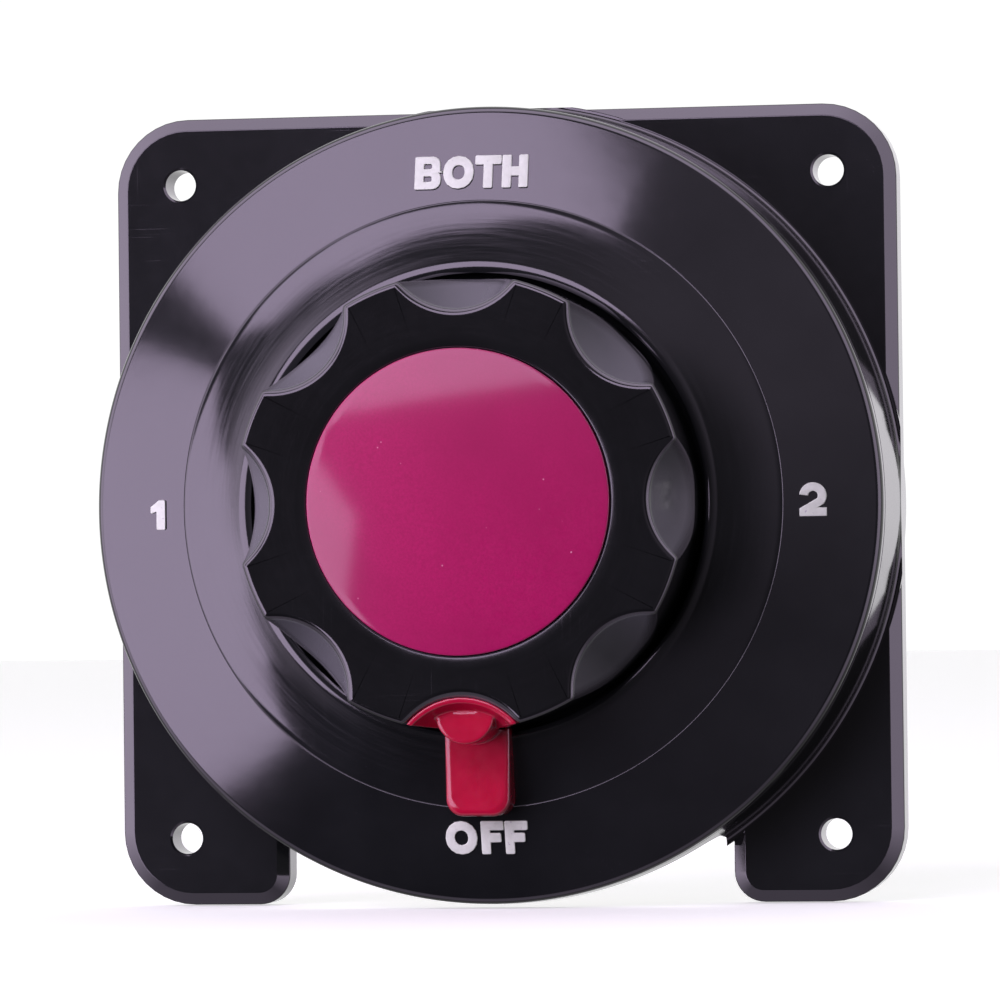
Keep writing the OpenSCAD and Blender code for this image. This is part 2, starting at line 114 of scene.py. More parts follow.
WELL_R = 37.0
WELL_FLOOR_Z = 28.7
TURRET_R = 24.0
TURRET_TOP_Z = CASE_HIGH[2]
CHAMBER_R = 21.0
CHAMBER_TOP_Z = 34.3
SHAFT_BORE_R = 6.05
DETENT_CENTRE_R = 19.4
DETENT_GROOVE_R = 2.65
ROOF_Z = 26.0
GASKET_T = 0.8
RIB_R = (48.0, 51.5)
BOARD_SCREW_XY = 30.0
BOARD_BOSS_R = 5.0
BOARD_PILOT_R = 1.6

# knob
KNOB_R = 36.2
KNOB_TOP_Z = KNOB_HIGH[2]
KNOB_BOTTOM_Z = KNOB_LOW[2]
KNOB_CAVITY_R = 26.0
KNOB_ROOF_Z = 45.5
BOSS_R = 11.0
BOSS_BOTTOM_Z = TURRET_TOP_Z + 0.2
COUNTERBORE_R = 7.2
COUNTERBORE_Z = 44.7
SQUARE_HALF = 4.25
SQUARE_CORNER_R = SQUARE_HALF * 1.38
KNOB_EDGE = 0.8
SCOOPS = 8
SCOOP_R = 12.2
SCOOP_TILT = radians(21.5)
SCOOP_TOP_R = 43.4
LABEL_R = LABEL_HIGH[0]
LABEL_SEAT_Z = LABEL_LOW[2]
LABEL_TOP_Z = LABEL_HIGH[2]
LABEL_DOME = 1.12

# pointer
POINTER_DIAL_ANGLE = radians(270)
ARM_HALF_W = 5.25
ARM_REACH = -POINTER_LOW[1]
ARM_TOP_Z = 35.4
POST_R = 4.75
POST_FROM_R = 33.0
POST_REACH = 38.3
POST_TOP_Z = 46.0

# terminals
STUD_R = 4.76
STUD_RING_R = -(STUD_LOW[1] + STUD_HIGH[1]) / 2
STUD_ANGLES = {"stud_1": 150, "stud_2": 30, "stud_common": 270}
STUD_HEAD_R = 6.5
STUD_HEAD_T = 1.9
FLAT_WASHER_R = 10.3
LOCK_WASHER_R = 8.6
NUT_AF = 14.3
THREAD_PITCH = 25.4 / 16

# legends
CAP_H = 5.4
LEGEND_R = 53.6
LEGEND_RAISE = 0.35
STROKE = 1.35
HALF_STROKE = STROKE / 2
HALF_CAP = CAP_H / 2
SOFT = 0.16


# The four corners of a square, and the radius at which a turned solid is closed on its axis.
QUARTERS = [(x, y) for x in (-1, 1) for y in (-1, 1)]
AXIS_R = 0.02


def outer_ring_z(r):
    """Height of the lettered ring at a radius."""
    return CREASE_Z - (r - CREASE_R) * tan(OUTER_SLOPE)


# ---- Mesh tools ----

def row(points):
    """Dial millimetres to the frame's metres."""
    p = np.asarray(points, float)
    return np.stack([p[:, 0], -p[:, 2], p[:, 1]], axis=1) / 1000


def fillet(corners, steps=5):
    """Closed outline through (x, y, radius) corners, each one rounded to its radius by an arc."""
    out = []
    for i, (x, y, radius) in enumerate(corners):
        here = np.array((x, y))
        before = np.array(corners[i - 1][:2]) - here
        after = np.array(corners[(i + 1) % len(corners)][:2]) - here
        if radius <= 0:
            out.append(here)
            continue
        before /= np.linalg.norm(before)
        after /= np.linalg.norm(after)
        half = acos(np.clip(before @ after, -1, 1)) / 2
        reach = radius / tan(half)
        bisector = (before + after) / np.linalg.norm(before + after)
        centre = here + bisector * radius / sin(half)
        start, end = here + before * reach - centre, here + after * reach - centre
        a0 = atan2(start[1], start[0])
        sweep = (atan2(end[1], end[0]) - a0 + pi) % (2 * pi) - pi
        out += [centre + radius * np.array((cos(a), sin(a)))
                for a in np.linspace(a0, a0 + sweep, steps + 1)]
    return out


def arc(centre, radius, a0, a1, steps):
    """Points along an arc, angles in degrees."""
    return [np.array(centre) + radius * np.array((cos(a), sin(a)))
            for a in np.radians(np.linspace(a0, a1, steps + 1))]


def full_turn(columns):
    """Angles all the way round."""
    return np.linspace(0, 2 * pi, columns, endpoint=False)


def ring_at(angles, r, z, at=(0, 0)):
    """Points round an axis along +Z; the radius is one number, or one for each angle."""
    return np.column_stack([at[0] + r * np.cos(angles), at[1] + r * np.sin(angles), np.full(len(angles), z)])


def linked(name, data):
    """New object of a mesh, curve or camera, in the scene."""
    obj = bpy.data.objects.new(name, data)
    bpy.context.scene.collection.objects.link(obj)
    return obj


def mesh_object(name, points, faces, sharp=35):
    """Object from dial points, smooth apart from edges sharper than an angle."""
    mesh = bpy.data.meshes.new(name)
    mesh.from_pydata([tuple(p) for p in row(points)], [], [tuple(map(int, f)) for f in faces])
    mesh.validate()
    bm = bmesh.new()
    bm.from_mesh(mesh)
    bmesh.ops.recalc_face_normals(bm, faces=bm.faces)
    bm.to_mesh(mesh)
    bm.free()
    shade(mesh, sharp)
    return linked(name, mesh)


def shade(mesh, sharp=35):
    """Smooth shading with sharp edges above an angle in degrees."""
    mesh.polygons.foreach_set("use_smooth", [True] * len(mesh.polygons))
    mesh.set_sharp_from_angle(angle=radians(sharp))


def grid_faces(rings, columns, closed):
    """Quads between consecutive rings of the same number of points."""
    faces = []
    for i in range(rings if closed else rings - 1):
        a, b = i * columns, (i + 1) % rings * columns
        faces += [(a + j, a + (j + 1) % columns, b + (j + 1) % columns, b + j) for j in range(columns)]
    return faces


def ring_mesh(name, rings, closed=True, sharp=35):
    """Skin over rings of points: closed, its last ring joins its first; open, both ends are capped."""
    rings = np.asarray(rings, float)
    count, columns = rings.shape[:2]
    faces = grid_faces(count, columns, closed)
    if not closed:
        faces += [tuple(range(columns))[::-1], tuple(range((count - 1) * columns, count * columns))]
    return mesh_object(name, rings.reshape(-1, 3), faces, sharp)


def turned(name, profile, columns=256, closed=True, at=(0, 0), sharp=35):
    """Revolved profile of (radius, height) points round an axis along +Z."""
    angles = full_turn(columns)
    return ring_mesh(name, [ring_at(angles, r, z, at) for r, z in profile], closed, sharp)


def cut_or_join(target, tool, operation):
    """Exact boolean of target with tool, which is used up."""
    mod = target.modifiers.new("boolean", "BOOLEAN")
    mod.operation = operation
    mod.solver = "EXACT"
    mod.object = tool
    bake(target)
    bpy.data.objects.remove(tool)
    return target


def bake(obj):
    """Applies an object's modifiers to its mesh."""
    bpy.context.view_layer.update()
    evaluated = obj.evaluated_get(bpy.context.evaluated_depsgraph_get())
    mesh = bpy.data.meshes.new_from_object(evaluated)
    obj.modifiers.clear()
    old = obj.data
    obj.data = mesh
    bpy.data.meshes.remove(old)
    return obj


def clean(obj, merge=2e-6, sharp=35):
    """Welds what a boolean left apart and shades the mesh again."""
    bm = bmesh.new()
    bm.from_mesh(obj.data)
    bmesh.ops.remove_doubles(bm, verts=bm.verts, dist=merge)
    bmesh.ops.dissolve_degenerate(bm, edges=bm.edges, dist=merge)
    bm.to_mesh(obj.data)
    bm.free()
    shade(obj.data, sharp)
    return obj


def weigh_normals(obj):
    """Keeps flat faces flat beside their rounded edges."""
    mod = obj.modifiers.new("weighted normals", "WEIGHTED_NORMAL")
    mod.keep_sharp = True
    mod.weight = 60
    return obj


def join(name, parts):
    """One object from several, with all their meshes."""
    bm = bmesh.new()
    for part in parts:
        bm.from_mesh(part.data)
    mesh = bpy.data.meshes.new(name)
    bm.to_mesh(mesh)
    bm.free()
    for part in parts:
        bpy.data.objects.remove(part)
    shade(mesh)
    return linked(name, mesh)


def place(obj, body, nodes, material):
    """Rides a finished piece on its body in place of its CAD nodes, with its material."""
    obj.data.materials.clear()
    obj.data.materials.append(material)
    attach(obj, body)
    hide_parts(*nodes)
    return obj


# ---- Materials ----

def map_range(tree, source, low, high, to_low, to_high):
    """Node that maps low..high to to_low..to_high, clamped."""
    node = tree.nodes.new("ShaderNodeMapRange")
    for socket, value in zip(("From Min", "From Max", "To Min", "To Max"), (low, high, to_low, to_high)):
        node.inputs[socket].default_value = value
    tree.links.new(source, node.inputs["Value"])
    return node.outputs["Result"]


def math_node(tree, operation, a, b):
    """Maths node of two values, each one a number or an earlier node's output."""
    node = tree.nodes.new("ShaderNodeMath")
    node.operation = operation
    for socket, value in zip(node.inputs, (a, b)):
        if isinstance(value, (int, float)):
            socket.default_value = value
        else:
            tree.links.new(value, socket)
    return node.outputs["Value"]


class Surface:
    """A node material on one Principled shader, in object coordinates in metres."""

    def __init__(self, name, **constants):
        self.material = bpy.data.materials.new(name)
        self.material.use_nodes = True
        self.tree = self.material.node_tree
        self.shader = self.tree.nodes["Principled BSDF"]
        for socket, value in constants.items():
            self.shader.inputs[socket.replace("_", " ")].default_value = value
        self.coordinates = self.node("TexCoord").outputs["Object"]

    def node(self, kind):
        return self.tree.nodes.new("ShaderNode" + kind)

    def link(self, source, target):
        self.tree.links.new(source, target)

    def stretched(self, scale, turn=(0, 0, 0)):
        """Coordinates scaled by a factor per axis, after a turn in degrees."""
        mapping = self.node("Mapping")
        mapping.inputs["Rotation"].default_value = [radians(a) for a in turn]
        mapping.inputs["Scale"].default_value = scale
        self.link(self.coordinates, mapping.inputs["Vector"])
        return mapping.outputs["Vector"]

    def noise(self, scale, detail=3, roughness=0.5, vector=None):
        """Fractal noise, scale in cells per metre."""
        node = self.node("TexNoise")
        node.inputs["Scale"].default_value = scale
        node.inputs["Detail"].default_value = detail
        node.inputs["Roughness"].default_value = roughness
        self.link(vector or self.coordinates, node.inputs["Vector"])
        return node.outputs["Fac"]

    def specks(self, scale, vector=None):
        """Distance to scattered points, scale in points per metre."""
        node = self.node("TexVoronoi")
        node.inputs["Scale"].default_value = scale
        self.link(vector or self.coordinates, node.inputs["Vector"])
        return node.outputs["Distance"]

    def spread(self, source, low, high, to_low=0.0, to_high=1.0):
        return map_range(self.tree, source, low, high, to_low, to_high)

    def math(self, operation, a, b):
        return math_node(self.tree, operation, a, b)

    def times(self, a, b):
        return self.math("MULTIPLY", a, b)

    def blend(self, factor, first, second):
        """Mix of two colours, or of a colour and an earlier mix."""
        node = self.node("Mix")
        node.data_type = "RGBA"
        self.link(factor, node.inputs["Factor"])
        for socket, value in (("A", first), ("B", second)):
            target = next(s for s in node.inputs if s.name == socket and s.type == "RGBA")
            if isinstance(value, tuple):
                target.default_value = (*value, 1)
            else:
                self.link(value, target)
        return next(s for s in node.outputs if s.type == "RGBA")

    def mottle(self, scale, detail, first, second):
        """Cloudy mix of two colours."""
        return self.blend(self.spread(self.noise(scale, detail), 0.3, 0.7), first, second)

    def colour(self, source):
        self.link(source, self.shader.inputs["Base Color"])

    def roughness(self, source):
        self.link(source, self.shader.inputs["Roughness"])

    def cloudy_roughness(self, scale, detail, low, high):
        self.roughness(self.spread(self.noise(scale, detail), 0.3, 0.7, low, high))

    def bump(self, height, distance, strength=1.0):
        """Bump of a height map, distance in metres; bumps add up."""
        node = self.node("Bump")
        node.inputs["Distance"].default_value = distance
        node.inputs["Strength"].default_value = strength
        self.link(height, node.inputs["Height"])
        target = self.shader.inputs["Normal"]
        if target.is_linked:
            self.link(target.links[0].from_socket, node.inputs["Normal"])
        self.link(node.outputs["Normal"], target)

    def scratches(self, amount):
        """Sparse fine hairlines in two directions, 0 to 1."""
        lines = []
        for scale, turn, patch in (((5200, 70, 70), (0, 31, 0), 70), ((70, 70, 4700), (0, 14, 0), 55)):
            line = self.spread(self.noise(1, 1, 0.5, self.stretched(scale, turn)), 0.69, 0.75)
            lines.append(self.times(line, self.spread(self.noise(patch, 2), 0.55, 0.68)))
        return self.times(self.math("MAXIMUM", *lines), amount)

    def facing(self, axis):
        """How squarely the surface faces along one of the object's axes, 0 to 1."""
        split = self.node("SeparateXYZ")
        self.link(self.node("TexCoord").outputs["Normal"], split.inputs[0])
        return self.math("ABSOLUTE", split.outputs[axis], 0.0)

    def polar(self, around, across):
        """Coordinates (angle, radius) about the knob's axis, scaled, and the radius itself."""
        split = self.node("SeparateXYZ")
        self.link(self.coordinates, split.inputs[0])
        x, z = split.outputs["X"], split.outputs["Z"]
        square = self.math("ADD", self.times(x, x), self.times(z, z))
        radius = self.math("SQRT", square, 0.0)
        joined = self.node("CombineXYZ")
        self.link(self.times(self.math("ARCTAN2", z, x), around), joined.inputs["X"])
        self.link(self.times(radius, across), joined.inputs["Y"])
        return joined.outputs["Vector"], radius


def moulded_black(name, roughness, scratch, rubbed, rub, tone, painted_wall_sheen):
    """Glossy black moulding: faint mottle, hairline scratches, settled dust, dull streaks round the
    axis between two radii where fingers and the pointer rub, and walls inside them painted in a tone of
    their own, a painted sheen."""
    s = Surface(name, IOR=1.53, Specular_IOR_Level=0.5)
    dust = s.times(s.spread(s.specks(1500), 0.03, 0.07, 1, 0), s.spread(s.noise(90, 2), 0.62, 0.7))
    dark = tuple(c * tone for c in (0.0062, 0.0072, 0.0074))
    light = tuple(c * tone for c in (0.0098, 0.0112, 0.0114))
    base = s.blend(s.spread(s.noise(60, 4), 0.35, 0.65), dark, light)
    hairlines = s.scratches(scratch)
    grain = s.spread(s.noise(420, 5), 0.3, 0.7, roughness * 0.93, roughness * 1.08)
    round_axis, radius = s.polar(3.0, 1900.0)
    streaks = s.spread(s.noise(1, 4, 0.62, round_axis), 0.42, 0.72)
    inner, outer = rubbed
    # Painted sheen: the upright walls inside the outer radius are painted in a tone of their own.
    upright = s.spread(s.facing("Y"), 0.45, 0.75, 1, 0)
    wall = s.times(upright, s.spread(radius, outer - 0.0012, outer, 1, 0))
    base = s.blend(wall, base, painted_wall_sheen)
    s.colour(s.blend(dust, base, (0.10, 0.10, 0.11)))
    zone = s.times(s.spread(radius, inner, inner + 0.0015),
                  s.spread(radius, outer - 0.004, outer, 1, 0))
    streaks = s.times(streaks, zone)
    s.roughness(s.math("ADD", s.math("ADD", grain, s.times(hairlines, 0.12)),
                       s.times(streaks, rub)))
    s.bump(s.noise(240, 2), 5e-6)
    s.bump(s.noise(2600, 3), 8e-7)
    s.bump(streaks, 2.5e-5 * rub)
    s.bump(hairlines, 1.5e-6)
    return s.material


def painted_white(name):
    """White paint on raised letters, thin and chipped in places."""
    s = Surface(name, Specular_IOR_Level=0.4)
    chips = s.spread(s.noise(1500, 4, 0.65), 0.66, 0.72)
    base = s.mottle(900, 3, (0.66, 0.74, 0.60), (0.74, 0.82, 0.68))
    s.colour(s.blend(chips, base, (0.30, 0.28, 0.34)))
    s.cloudy_roughness(1200, 3, 0.28, 0.5)
    s.bump(s.noise(2200, 4), 4e-5)
    return s.material


def label_red(name):
    """Magenta-red print under a clear dome, with the fine grain of the print and a few specks."""
    s = Surface(name, Coat_Weight=0.55, Coat_Roughness=0.075, Coat_IOR=1.5, IOR=1.45,
                Specular_IOR_Level=0.12)
    grain = s.spread(s.noise(2600, 3, 0.7), 0.35, 0.65)
    base = s.blend(grain, (0.35, 0.0045, 0.085), (0.43, 0.0065, 0.105))
    base = s.blend(s.spread(s.noise(45, 3), 0.35, 0.7), base, (0.325, 0.004, 0.077))
    motes = s.times(s.spread(s.specks(420), 0.035, 0.075, 1, 0),
                   s.spread(s.noise(160, 2), 0.55, 0.62))
    s.colour(s.blend(motes, base, (0.72, 0.25, 0.36)))
    s.cloudy_roughness(800, 3, 0.32, 0.45)
    s.bump(s.noise(70, 2), 1.5e-5)
    s.bump(motes, 2e-5)
    return s.material


def pointer_red(name):
    """Saturated red moulding with a slight orange-peel gloss."""
    s = Surface(name, IOR=1.48, Specular_IOR_Level=0.5, Subsurface_Weight=0.08,
                Subsurface_Scale=0.0012, Subsurface_Radius=(1.0, 0.2, 0.12))
    s.colour(s.mottle(260, 4, (0.40, 0.0030, 0.030), (0.47, 0.0045, 0.038)))
    s.cloudy_roughness(700, 4, 0.13, 0.18)
    s.bump(s.noise(300, 2), 5e-6)
    s.bump(s.noise(2400, 3), 1e-6)
    return s.material


def metal(name, dark, light, roughness, grain):
    """Plated or turned metal: fine directional grain, tarnish and handling marks."""
    s = Surface(name, Metallic=1.0)
    tarnish = s.spread(s.noise(220, 5, 0.6), 0.35, 0.68)
    s.colour(s.blend(tarnish, dark, light))
    lines = s.noise(1, 3, 0.6, s.stretched(grain))
    s.roughness(s.math("ADD", s.spread(lines, 0.3, 0.7, roughness * 0.75, roughness * 1.3),
                       s.times(s.scratches(1.0), 0.12)))
    s.bump(lines, 4e-6)
    s.bump(s.noise(900, 3), 3e-6)
    return s.material


def laminate(name):
    """Paper phenolic board: brown, with fibres and fine layers on its cut edge."""
    s = Surface(name, IOR=1.55, Specular_IOR_Level=0.45)
    fibre = s.noise(1, 4, 0.65, s.stretched((1500, 1500, 260), (0, 35, 0)))
    cross = s.noise(1, 4, 0.65, s.stretched((260, 1500, 1500), (0, 20, 0)))
    layers = s.noise(1, 2, 0.5, s.stretched((40, 5200, 40)))
    base = s.blend(s.spread(s.math("MAXIMUM", fibre, cross), 0.42, 0.72),
                   (0.060, 0.022, 0.009), (0.135, 0.060, 0.024))
    s.colour(s.blend(s.spread(layers, 0.5, 0.7, 0, 0.5), base, (0.045, 0.016, 0.007)))
    s.cloudy_roughness(500, 4, 0.32, 0.5)
    s.bump(fibre, 1.5e-5)
    s.bump(layers, 2e-5)
    return s.material


def rubber(name):
    """Matte black sealing rubber with a powdery bloom."""
    s = Surface(name, Specular_IOR_Level=0.35)
    s.colour(s.blend(s.spread(s.noise(700, 4), 0.4, 0.75), (0.012, 0.012, 0.013), (0.05, 0.05, 0.052)))
    s.cloudy_roughness(400, 3, 0.6, 0.85)
    s.bump(s.noise(3000, 3), 1e-5)
    return s.material


def nylon(name):
    """Off-white engineering plastic of the rotor."""
    s = Surface(name, Specular_IOR_Level=0.45, Subsurface_Weight=0.15, Subsurface_Scale=0.002)
    s.colour(s.mottle(300, 4, (0.62, 0.60, 0.52), (0.74, 0.72, 0.64)))
    s.cloudy_roughness(600, 3, 0.35, 0.5)
    s.bump(s.noise(1800, 3), 1e-5)
    return s.material


CASE_BLACK = moulded_black("case_black", roughness=0.1, scratch=0.6, rubbed=(0.0385, 0.0485), rub=0.1,
                           tone=1.0, painted_wall_sheen=(0.008, 0.009, 0.0095))
# The knob's scoop walls are painted light grey, a painted sheen on the black.
KNOB_BLACK = moulded_black("knob_black", roughness=0.1, scratch=0.7, rubbed=(0.0245, 0.0360), rub=0.02,
                           tone=0.55, painted_wall_sheen=(0.13, 0.134, 0.145))
WHITE = painted_white("legend_white")
LABEL_RED = label_red("label_red")
POINTER_RED = pointer_red("pointer_red")
STEEL = metal("plated_steel", (0.42, 0.42, 0.41), (0.66, 0.65, 0.62), 0.28, (1800, 120, 1800))
SPRING_STEEL = metal("spring_steel", (0.30, 0.30, 0.31), (0.52, 0.52, 0.53), 0.25, (900, 900, 900))
COPPER = metal("copper", (0.62, 0.27, 0.15), (0.80, 0.42, 0.27), 0.3, (1600, 1600, 90))
BRASS = metal("stud_brass", (0.55, 0.38, 0.15), (0.78, 0.60, 0.28), 0.25, (140, 1900, 140))
BOARD = laminate("board_phenolic")
RUBBER = rubber("seal_rubber")
NYLON = nylon("rotor_nylon")


# ---- Case ----

def plate_outline(inset):
    """Square plate with two feet and the cable notch, drawn in by an inset."""
    half = PLATE_HALF - inset
    big, small = PLATE_CORNER_R - inset, FOOT_CORNER_R - inset
    foot = NOTCH_HALF + inset
    notch_top = NOTCH_TOP_Y + inset
    return fillet([(half, -half, big), (half, half, big), (-half, half, big), (-half, -half, big),
                   (-foot, -half, small), (-foot, notch_top, 0), (foot, notch_top, 0),
                   (foot, -half, small)], steps=10)


def make_plate():
    """Plate with its holes. Its edge drops from a crisp line as a slope and rolls over into the wall."""
    drop = PLATE_EDGE_SLOPE_W * tan(PLATE_EDGE_SLOPE)
    section = [(PLATE_EDGE_SLOPE_W + 0.3, PLATE_T, 0), (PLATE_EDGE_SLOPE_W, PLATE_T, 0.3),
               (0.0, PLATE_T - drop, 0.5), (0.0, 0.0, 0.3), (1.0, 0.0, 0)]
    levels = fillet(section, steps=6)[1:-1][::-1]
    rings = [[(x, y, z) for x, y in plate_outline(inset)] for inset, z in levels]
    plate = ring_mesh("plate", rings, closed=False)
    middle = turned("middle", [(DRUM_R - 2, -1), (DRUM_R - 2, PLATE_T + 1)], closed=False)
    cut_or_join(plate, middle, "DIFFERENCE")
    edge_break = 0.35
    wide = HOLE_R + edge_break
    profile = [(wide, -1), (wide, 0), (HOLE_R, edge_break), (HOLE_R, PLATE_T - edge_break),
               (wide, PLATE_T), (wide, PLATE_T + 1)]
    for x, y in QUARTERS:
        hole = turned("hole", profile, 48, closed=False, at=(x * HOLE_SPACING / 2, y * HOLE_SPACING / 2))
        cut_or_join(plate, hole, "DIFFERENCE")
    return plate


def crease_and_inner_ring():
    """Fine groove at the crease, then the slightly hollow inner ring and the well's rounded lip."""
    groove_w, groove_d, dip = 0.16, 0.09, 0.2
    points = [(CREASE_R + groove_w, outer_ring_z(CREASE_R + groove_w), 0),
              (CREASE_R, CREASE_Z - groove_d, 0)]
    start_tilt, end_tilt = degrees(INNER_SLOPE) + 3.5, -16.0
    lip = arc((LIP_R, LIP_Z - LIP_ROUND), LIP_ROUND, 90 - start_tilt, 90 - end_tilt, 14)
    for t in np.linspace(0.02, 0.98, 14):
        r = CREASE_R + (lip[0][0] - CREASE_R) * t
        chord = CREASE_Z + (lip[0][1] - CREASE_Z) * t
        points.append((r, chord - dip * 4 * t * (1 - t), 0))
    points += [(x, y, 0) for x, y in lip]
    return points + [(WELL_R, lip[-1][1] - 0.12, 0.1)]


def drum_profile():
    """Section of the drum, its face rings, the knob well, the turret and the hollow behind them."""
    rim_z = outer_ring_z(RIM_R)
    seam_z, foot_z, back_z = rim_z - SEAM_DROP, PLATE_T - 0.04, 0.03
    outside = [(DRUM_R, back_z, 0.25), (DRUM_R, PLATE_T - 1.5, 0), (DRUM_R + DRUM_FOOT, PLATE_T - 1.5, 0),
               (DRUM_R + DRUM_FOOT, foot_z, 0), (DRUM_R - 0.06, foot_z, DRUM_FOOT * 0.98),
               (RIM_R + 0.09, seam_z - 0.3, 0), (RIM_R - 0.16, seam_z, 0), (RIM_R + 0.07, seam_z + 0.3, 0),
               (RIM_R, rim_z, RIM_ROUND), *crease_and_inner_ring(),
               (WELL_R, WELL_FLOOR_Z, 0.9), (TURRET_R, WELL_FLOOR_Z, 0.8),
               (TURRET_R, TURRET_TOP_Z, 0.7), (SHAFT_BORE_R, TURRET_TOP_Z, 0.2)]
    rib_z = BOARD_HIGH[2] + GASKET_T
    inside = [(SHAFT_BORE_R, CHAMBER_TOP_Z, 0.2), (CHAMBER_R, CHAMBER_TOP_Z, 0.5), (CHAMBER_R, ROOF_Z, 0.4),
              (42.0, ROOF_Z, 2.0), (RIB_R[0], 25.0, 0.3), (RIB_R[0], rib_z, 0.2), (RIB_R[1], rib_z, 0.2),
              (RIB_R[1], 23.8, 0.4), (CAVITY_R, 20.8, 1.5), (CAVITY_R, back_z, 0.4)]
    return fillet(outside + inside, steps=7)


def detent_groove(a):
    """Radius of the rotor chamber's wall at an angle: four grooves for the detent balls."""
    off = (a + pi / 4) % (pi / 2) - pi / 4
    across = DETENT_CENTRE_R * sin(off)
    if abs(across) >= DETENT_GROOVE_R:
        return CHAMBER_R
    return max(CHAMBER_R, DETENT_CENTRE_R * cos(off) + sqrt(DETENT_GROOVE_R ** 2 - across ** 2))


def make_drum():
    """Drum, kept inside its own CAD box where its foot would leave it."""
    angles = full_turn(384)
    grooves = np.array([detent_groove(a) for a in angles])
    rings = []
    for r, z in drum_profile():
        in_chamber = abs(r - CHAMBER_R) < 0.6 and ROOF_Z - 0.1 < z < CHAMBER_TOP_Z + 0.1
        ring = ring_at(angles, grooves + (r - CHAMBER_R) if in_chamber else r, z)
        ring[:, :2] = np.clip(ring[:, :2], -DRUM_R, DRUM_R)
        rings.append(ring)
    return ring_mesh("drum", rings)


def make_cable_opening():
    """Cutter of the way out for the cables through the drum's wall, with rounded corners."""
    half, low, high = OPENING_HALF, -10, CABLE_Z
    corners = ((-half, low), (half, low), (half, high), (-half, high))
    section = fillet([(x, z, OPENING_CORNER_R) for x, z in corners], steps=8)
    rings = [[(x, y, z) for x, z in section] for y in (-PLATE_HALF - 5, NOTCH_TOP_Y)]
    return ring_mesh("opening", rings, closed=False)


def make_case():
    case = make_plate()
    cut_or_join(case, make_drum(), "UNION")
    cut_or_join(case, make_cable_opening(), "DIFFERENCE")
    boss_profile = fillet([(BOARD_PILOT_R, BOARD_HIGH[2], 0.2), (BOARD_BOSS_R, BOARD_HIGH[2], 0.4),
                           (BOARD_BOSS_R, ROOF_Z + 0.6, 0), (BOARD_PILOT_R, ROOF_Z + 0.6, 0)])
    for x, y in QUARTERS:
        boss = turned("boss", boss_profile, 48, at=(x * BOARD_SCREW_XY, y * BOARD_SCREW_XY))
        cut_or_join(case, boss, "UNION")
    case.name = "case"
    clean(case)
    weigh_normals(case)
    place(case, "case", ["housing"], CASE_BLACK)


# ---- Legends ----

def rounded_rectangle(half_w, half_h, radius):
    return [(x * half_w, y * half_h, radius) for x, y in ((-1, -1), (1, -1), (1, 1), (-1, 1))]


def letter_o(w):
    hole_half = w / 2 - STROKE
    return [rounded_rectangle(w / 2, HALF_CAP, w / 2 * 0.97),
            rounded_rectangle(hole_half, HALF_CAP - STROKE, hole_half * 0.95)]


def letter_b(w):
    left, right, h = -w / 2, w / 2, HALF_CAP
    waist = 0.1
    outer = [(left, -h, SOFT), (right, -h, 1.3), (right, waist, 1.05),
             (right - 0.35, waist + 0.02, 0.02), (right - 0.15, waist + 0.04, 0),
             (right - 0.15, h, 1.2), (left, h, SOFT)]
    holes = [[(left + STROKE, y0, 0.1), (right - STROKE, y0, 0.42), (right - STROKE, y1, 0.42),
              (left + STROKE, y1, 0.1)] for y0, y1 in ((-1.62, -0.46), (0.58, 1.66))]
    return [outer, *holes]


def letter_t(w):
    s, h = HALF_STROKE, HALF_CAP
    return [[(-s, -h, SOFT), (s, -h, SOFT), (s, h - STROKE, SOFT / 2),
             (w / 2, h - STROKE, SOFT), (w / 2, h, SOFT), (-w / 2, h, SOFT),
             (-w / 2, h - STROKE, SOFT), (-s, h - STROKE, SOFT / 2)]]


def letter_h(w):
    inner, s, h = w / 2 - STROKE, HALF_STROKE, HALF_CAP
    right = [(inner, -h, SOFT), (w / 2, -h, SOFT), (w / 2, h, SOFT),
             (inner, h, SOFT), (inner, s, SOFT / 2)]
    left = [(-inner, s, SOFT / 2), (-inner, h, SOFT), (-w / 2, h, SOFT),
            (-w / 2, -h, SOFT), (-inner, -h, SOFT), (-inner, -s, SOFT / 2)]
    return [right + left + [(inner, -s, SOFT / 2)]]


def letter_f(w):
    left, s, h = -w / 2, HALF_STROKE, HALF_CAP
    return [[(left, -h, SOFT), (left + STROKE, -h, SOFT), (left + STROKE, -s, SOFT / 2),
             (w / 2 - 0.5, -s, SOFT), (w / 2 - 0.5, s, SOFT), (left + STROKE, s, SOFT / 2),
             (left + STROKE, h - STROKE, SOFT / 2), (w / 2, h - STROKE, SOFT),
             (w / 2, h, SOFT), (left, h, SOFT)]]


def digit_1():
    h = 2.4
    return [[(-0.1, -h, SOFT), (1.3, -h, SOFT), (1.3, h, SOFT), (0.3, h, SOFT), (-1.2, h - 1.1, SOFT),
             (-1.2, h - 2.1, SOFT), (-0.1, h - 1.6, SOFT / 2)]]


def digit_2():
    w, bowl = 4.2, 2.1
    centre = (0, HALF_CAP - bowl)
    thick, base = 1.2, 1.2 - HALF_CAP
    sharp = [(-w / 2, -HALF_CAP), (w / 2, -HALF_CAP), (w / 2, base), (0.3, base)]
    outer = arc(centre, bowl, -38, 172, 20)
    inner = arc(centre, bowl - thick, 172, -38, 14)
    return [[(x, y, 0) for x, y in [*sharp, *outer, *inner, (-w / 2, base - 0.1)]]]


